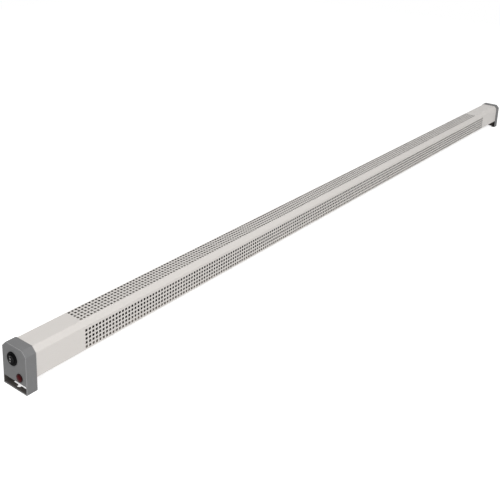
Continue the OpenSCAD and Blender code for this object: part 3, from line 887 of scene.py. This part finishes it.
def make_switch_body():
    face_x, floor_x, inner_r = NEAR_X - BEZEL_T, NEAR_X + POCKET_DEPTH, BEZEL_INNER_R
    profile = [(floor_x, 0), (floor_x, POCKET_R), (face_x + inner_r, POCKET_R),
               (face_x + inner_r * ROUND_MIDDLE, POCKET_R + inner_r * ROUND_MIDDLE),
               (face_x, POCKET_R + inner_r)]
    profile += round_rim(face_x, BEZEL_R, BEZEL_EDGE_R)
    profile += barrel(BEZEL_R, BARREL_R, BARREL_L)
    piece = lathe("switch_bezel", profile, SWITCH_MIDDLE, BLACK, SWITCH_SEGMENTS)
    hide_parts("switch_body")


def scoop_x(height):
    """Where the rocker's hollow face lies, at a height above the switch's middle."""
    half = math.sqrt(ROCKER_R ** 2 - ROCKER_PROUD ** 2)
    radius = (half ** 2 + ROCKER_SCOOP ** 2) / (2 * ROCKER_SCOOP)
    return NEAR_X - ROCKER_PROUD - radius + ROCKER_SCOOP + math.sqrt(radius ** 2 - height ** 2)


def ball_depth(distance):
    """How far the rocker's ball reaches along X, at a distance from its axis."""
    return math.sqrt(max(ROCKER_R ** 2 - distance ** 2, 0.0))


def scoop_reach(sine):
    """How far from its middle the hollow face meets the ball, in the direction of that sine."""
    low, high = 0.0, ROCKER_R
    for _ in range(BISECTIONS):
        middle = (low + high) / 2
        inside = NEAR_X - ball_depth(middle) < scoop_x(middle * sine)
        low, high = (middle, high) if inside else (low, middle)
    return low


def rocker_profile(sine):
    """(x, radius) points of the rocker in the direction of that sine, from its face to its back."""
    reach = scoop_reach(sine)
    soft = ROCKER_MIDDLE * ROCKER_EDGE
    start, back = scoop_x(reach * sine) + ROCKER_EDGE, NEAR_X + ROCKER_BACK
    profile = []
    for k in range(1, ROCKER_FACE_RINGS + 1):
        r = (reach - ROCKER_EDGE) * k / ROCKER_FACE_RINGS
        profile.append((scoop_x(r * sine), r))
    profile.append((scoop_x(reach * sine) + soft, reach - soft))
    for k in range(ROCKER_SIDE_RINGS + 1):
        x = start + (back - start) * k / ROCKER_SIDE_RINGS
        profile.append((x, ball_depth(x - NEAR_X)))
    return profile


def make_rocker():
    """Ball-shaped rocker: a hollow face, a softened rim and a side that slides in the pocket."""
    spokes = [[(x, SWITCH_Y + r * c, SWITCH_Z + r * s) for x, r in rocker_profile(s)]
              for c, s in circle(SWITCH_SEGMENTS)]
    rings = [[(scoop_x(0.0), SWITCH_Y, SWITCH_Z)], *map(list, zip(*spokes)),
             [(NEAR_X + ROCKER_BACK, SWITCH_Y, SWITCH_Z)]]
    piece = ring_form("rocker", rings, BLACK, ROCKER_SHARP, "rocker")
    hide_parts("switch_rocker")


def ink_patch(name, outer, inner=()):
    """A thin printed mark on the rocker's face, bounded by a loop of (y, height) points.

    Where inner is given, it bounds a hole in the mark and has as many points as outer. The side
    that lies in the rocker is open.
    """
    vertices, faces = [], []
    for loop in filter(None, (outer, inner)):
        for lift in (INK, -INK):
            vertices += [(scoop_x(h) - lift, MARK_Y + y, SWITCH_Z + h) for y, h in loop]
    count = len(outer)
    for i in range(count):
        j = (i + 1) % count
        faces.append([i, j, count + j, count + i])
        if inner:
            faces.append([2 * count + i, 2 * count + j, 3 * count + j, 3 * count + i])
            faces.append([i, j, 2 * count + j, 2 * count + i])
    if not inner:
        faces.append(list(range(count)))
    piece = new_piece(name, vertices, faces, MARK, "rocker")
    close_form(piece)


def bar_loop(height):
    low, high = height - MARK_H / 2, height + MARK_H / 2
    return [(-MARK_HALF_W, low), (MARK_HALF_W, low), (MARK_HALF_W, high), (-MARK_HALF_W, high)]


def ring_loop(height, radius):
    return [(radius * c, height + radius * s) for c, s in circle(MARK_RING_POINTS)]


def make_marks():
    ink_patch("mark_one", bar_loop(MARK_ONE))
    ink_patch("mark_off", ring_loop(MARK_OFF, MARK_RING_R),
              ring_loop(MARK_OFF, MARK_RING_R - MARK_H))
    for k, side in enumerate((1, -1)):
        ink_patch(f"mark_two_{k}", bar_loop(MARK_TWO + side * MARK_H))


def make_lamp_collar():
    face_x = NEAR_X - COLLAR_T
    profile = [(face_x + LENS_SEAT, 0), (face_x + LENS_SEAT, LENS_R),
               (face_x, LENS_R + COLLAR_FLARE)]
    profile += round_rim(face_x, COLLAR_R, COLLAR_EDGE_R)
    profile += barrel(COLLAR_R, LAMP_BARREL_R, LAMP_BARREL_L)
    piece = lathe("lamp_ring", profile, LAMP_MIDDLE, LAMP_RED, LAMP_SEGMENTS)
    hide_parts("lamp_collar")


def make_lamp_lens():
    """A low dome with shallow ribs in rings."""
    seat_x = NEAR_X - COLLAR_T + LENS_SEAT
    rise = LENS_PROUD - COLLAR_T - LENS_RIM
    dome_r = (LENS_R ** 2 + rise ** 2) / (2 * rise)
    profile = [(seat_x, 0), (seat_x, LENS_R)]
    for i in range(LENS_STEPS + 1):
        r = LENS_R * (1 - i / LENS_STEPS)
        x = NEAR_X - LENS_PROUD + dome_r - math.sqrt(dome_r ** 2 - r ** 2)
        wave = 0.5 - 0.5 * math.cos(2 * math.pi * LENS_RIBS * r / LENS_R)
        profile.append((x + LENS_RIB_DEPTH * wave, r))
    piece = lathe("lamp_dome", profile, LAMP_MIDDLE, LENS, LAMP_SEGMENTS)
    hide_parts("lamp_lens")


def make_stage():
    mesh = bpy.data.meshes.new("studio_floor")
    half = FLOOR_HALF
    corners = [(-half, -half, 0), (half, -half, 0), (half, half, 0), (-half, half, 0)]
    mesh.from_pydata(corners, [], [[0, 1, 2, 3]])
    mesh.materials.append(plain_stage("pale_floor", FLOOR_COLOUR, FLOOR_LIFT))
    floor = add_object("studio_floor", mesh)


def make_lamps():
    for name, place, target, size, power in LAMPS:
        data = bpy.data.lights.new(name, "AREA")
        data.shape = "RECTANGLE"
        data.size, data.size_y = size
        data.energy = power
        lamp = add_object(name, data)
        lamp.location = place
        aim = Vector(target) - Vector(place)
        lamp.rotation_euler = aim.to_track_quat("-Z", "Y").to_euler()


def make_world():
    """Soft light from all around, and white where the background is looked at."""
    world = bpy.data.worlds.new("studio")
    bpy.context.scene.world = world
    world.use_nodes = True
    tree = world.node_tree
    background = tree.nodes["Background"].inputs
    background["Color"].default_value = (1, 1, 1, 1)
    inputs = {"Value": seen_directly(tree), "To Min": WORLD_LIGHT, "To Max": 1.0}
    strength = add_node(tree, "ShaderNodeMapRange", inputs)
    tree.links.new(strength.outputs["Result"], background["Strength"])


def make_camera():
    """The camera that a pinhole fit to the photo gave."""
    data = bpy.data.cameras.new("photo_view")
    data.sensor_width = 36.0
    data.lens = 56.4354
    data.shift_x, data.shift_y = 0.0, -0.25
    data.clip_start, data.clip_end = 0.05, 60.0
    camera = add_object("photo_view", data)
    camera.location = (-1.634250, -0.906112, 0.761751)
    camera.rotation_euler = (1.27851309, -0.03844196, -0.92194932)
    bpy.context.scene.camera = camera


make_camera()
dress_nodes()
make_front_sheet()
make_top_sheet()
make_caps()
make_switch_body()
make_rocker()
make_marks()
make_lamp_collar()
make_lamp_lens()
make_stage()
make_lamps()
make_world()
bpy.context.scene.view_settings.view_transform = "Standard"
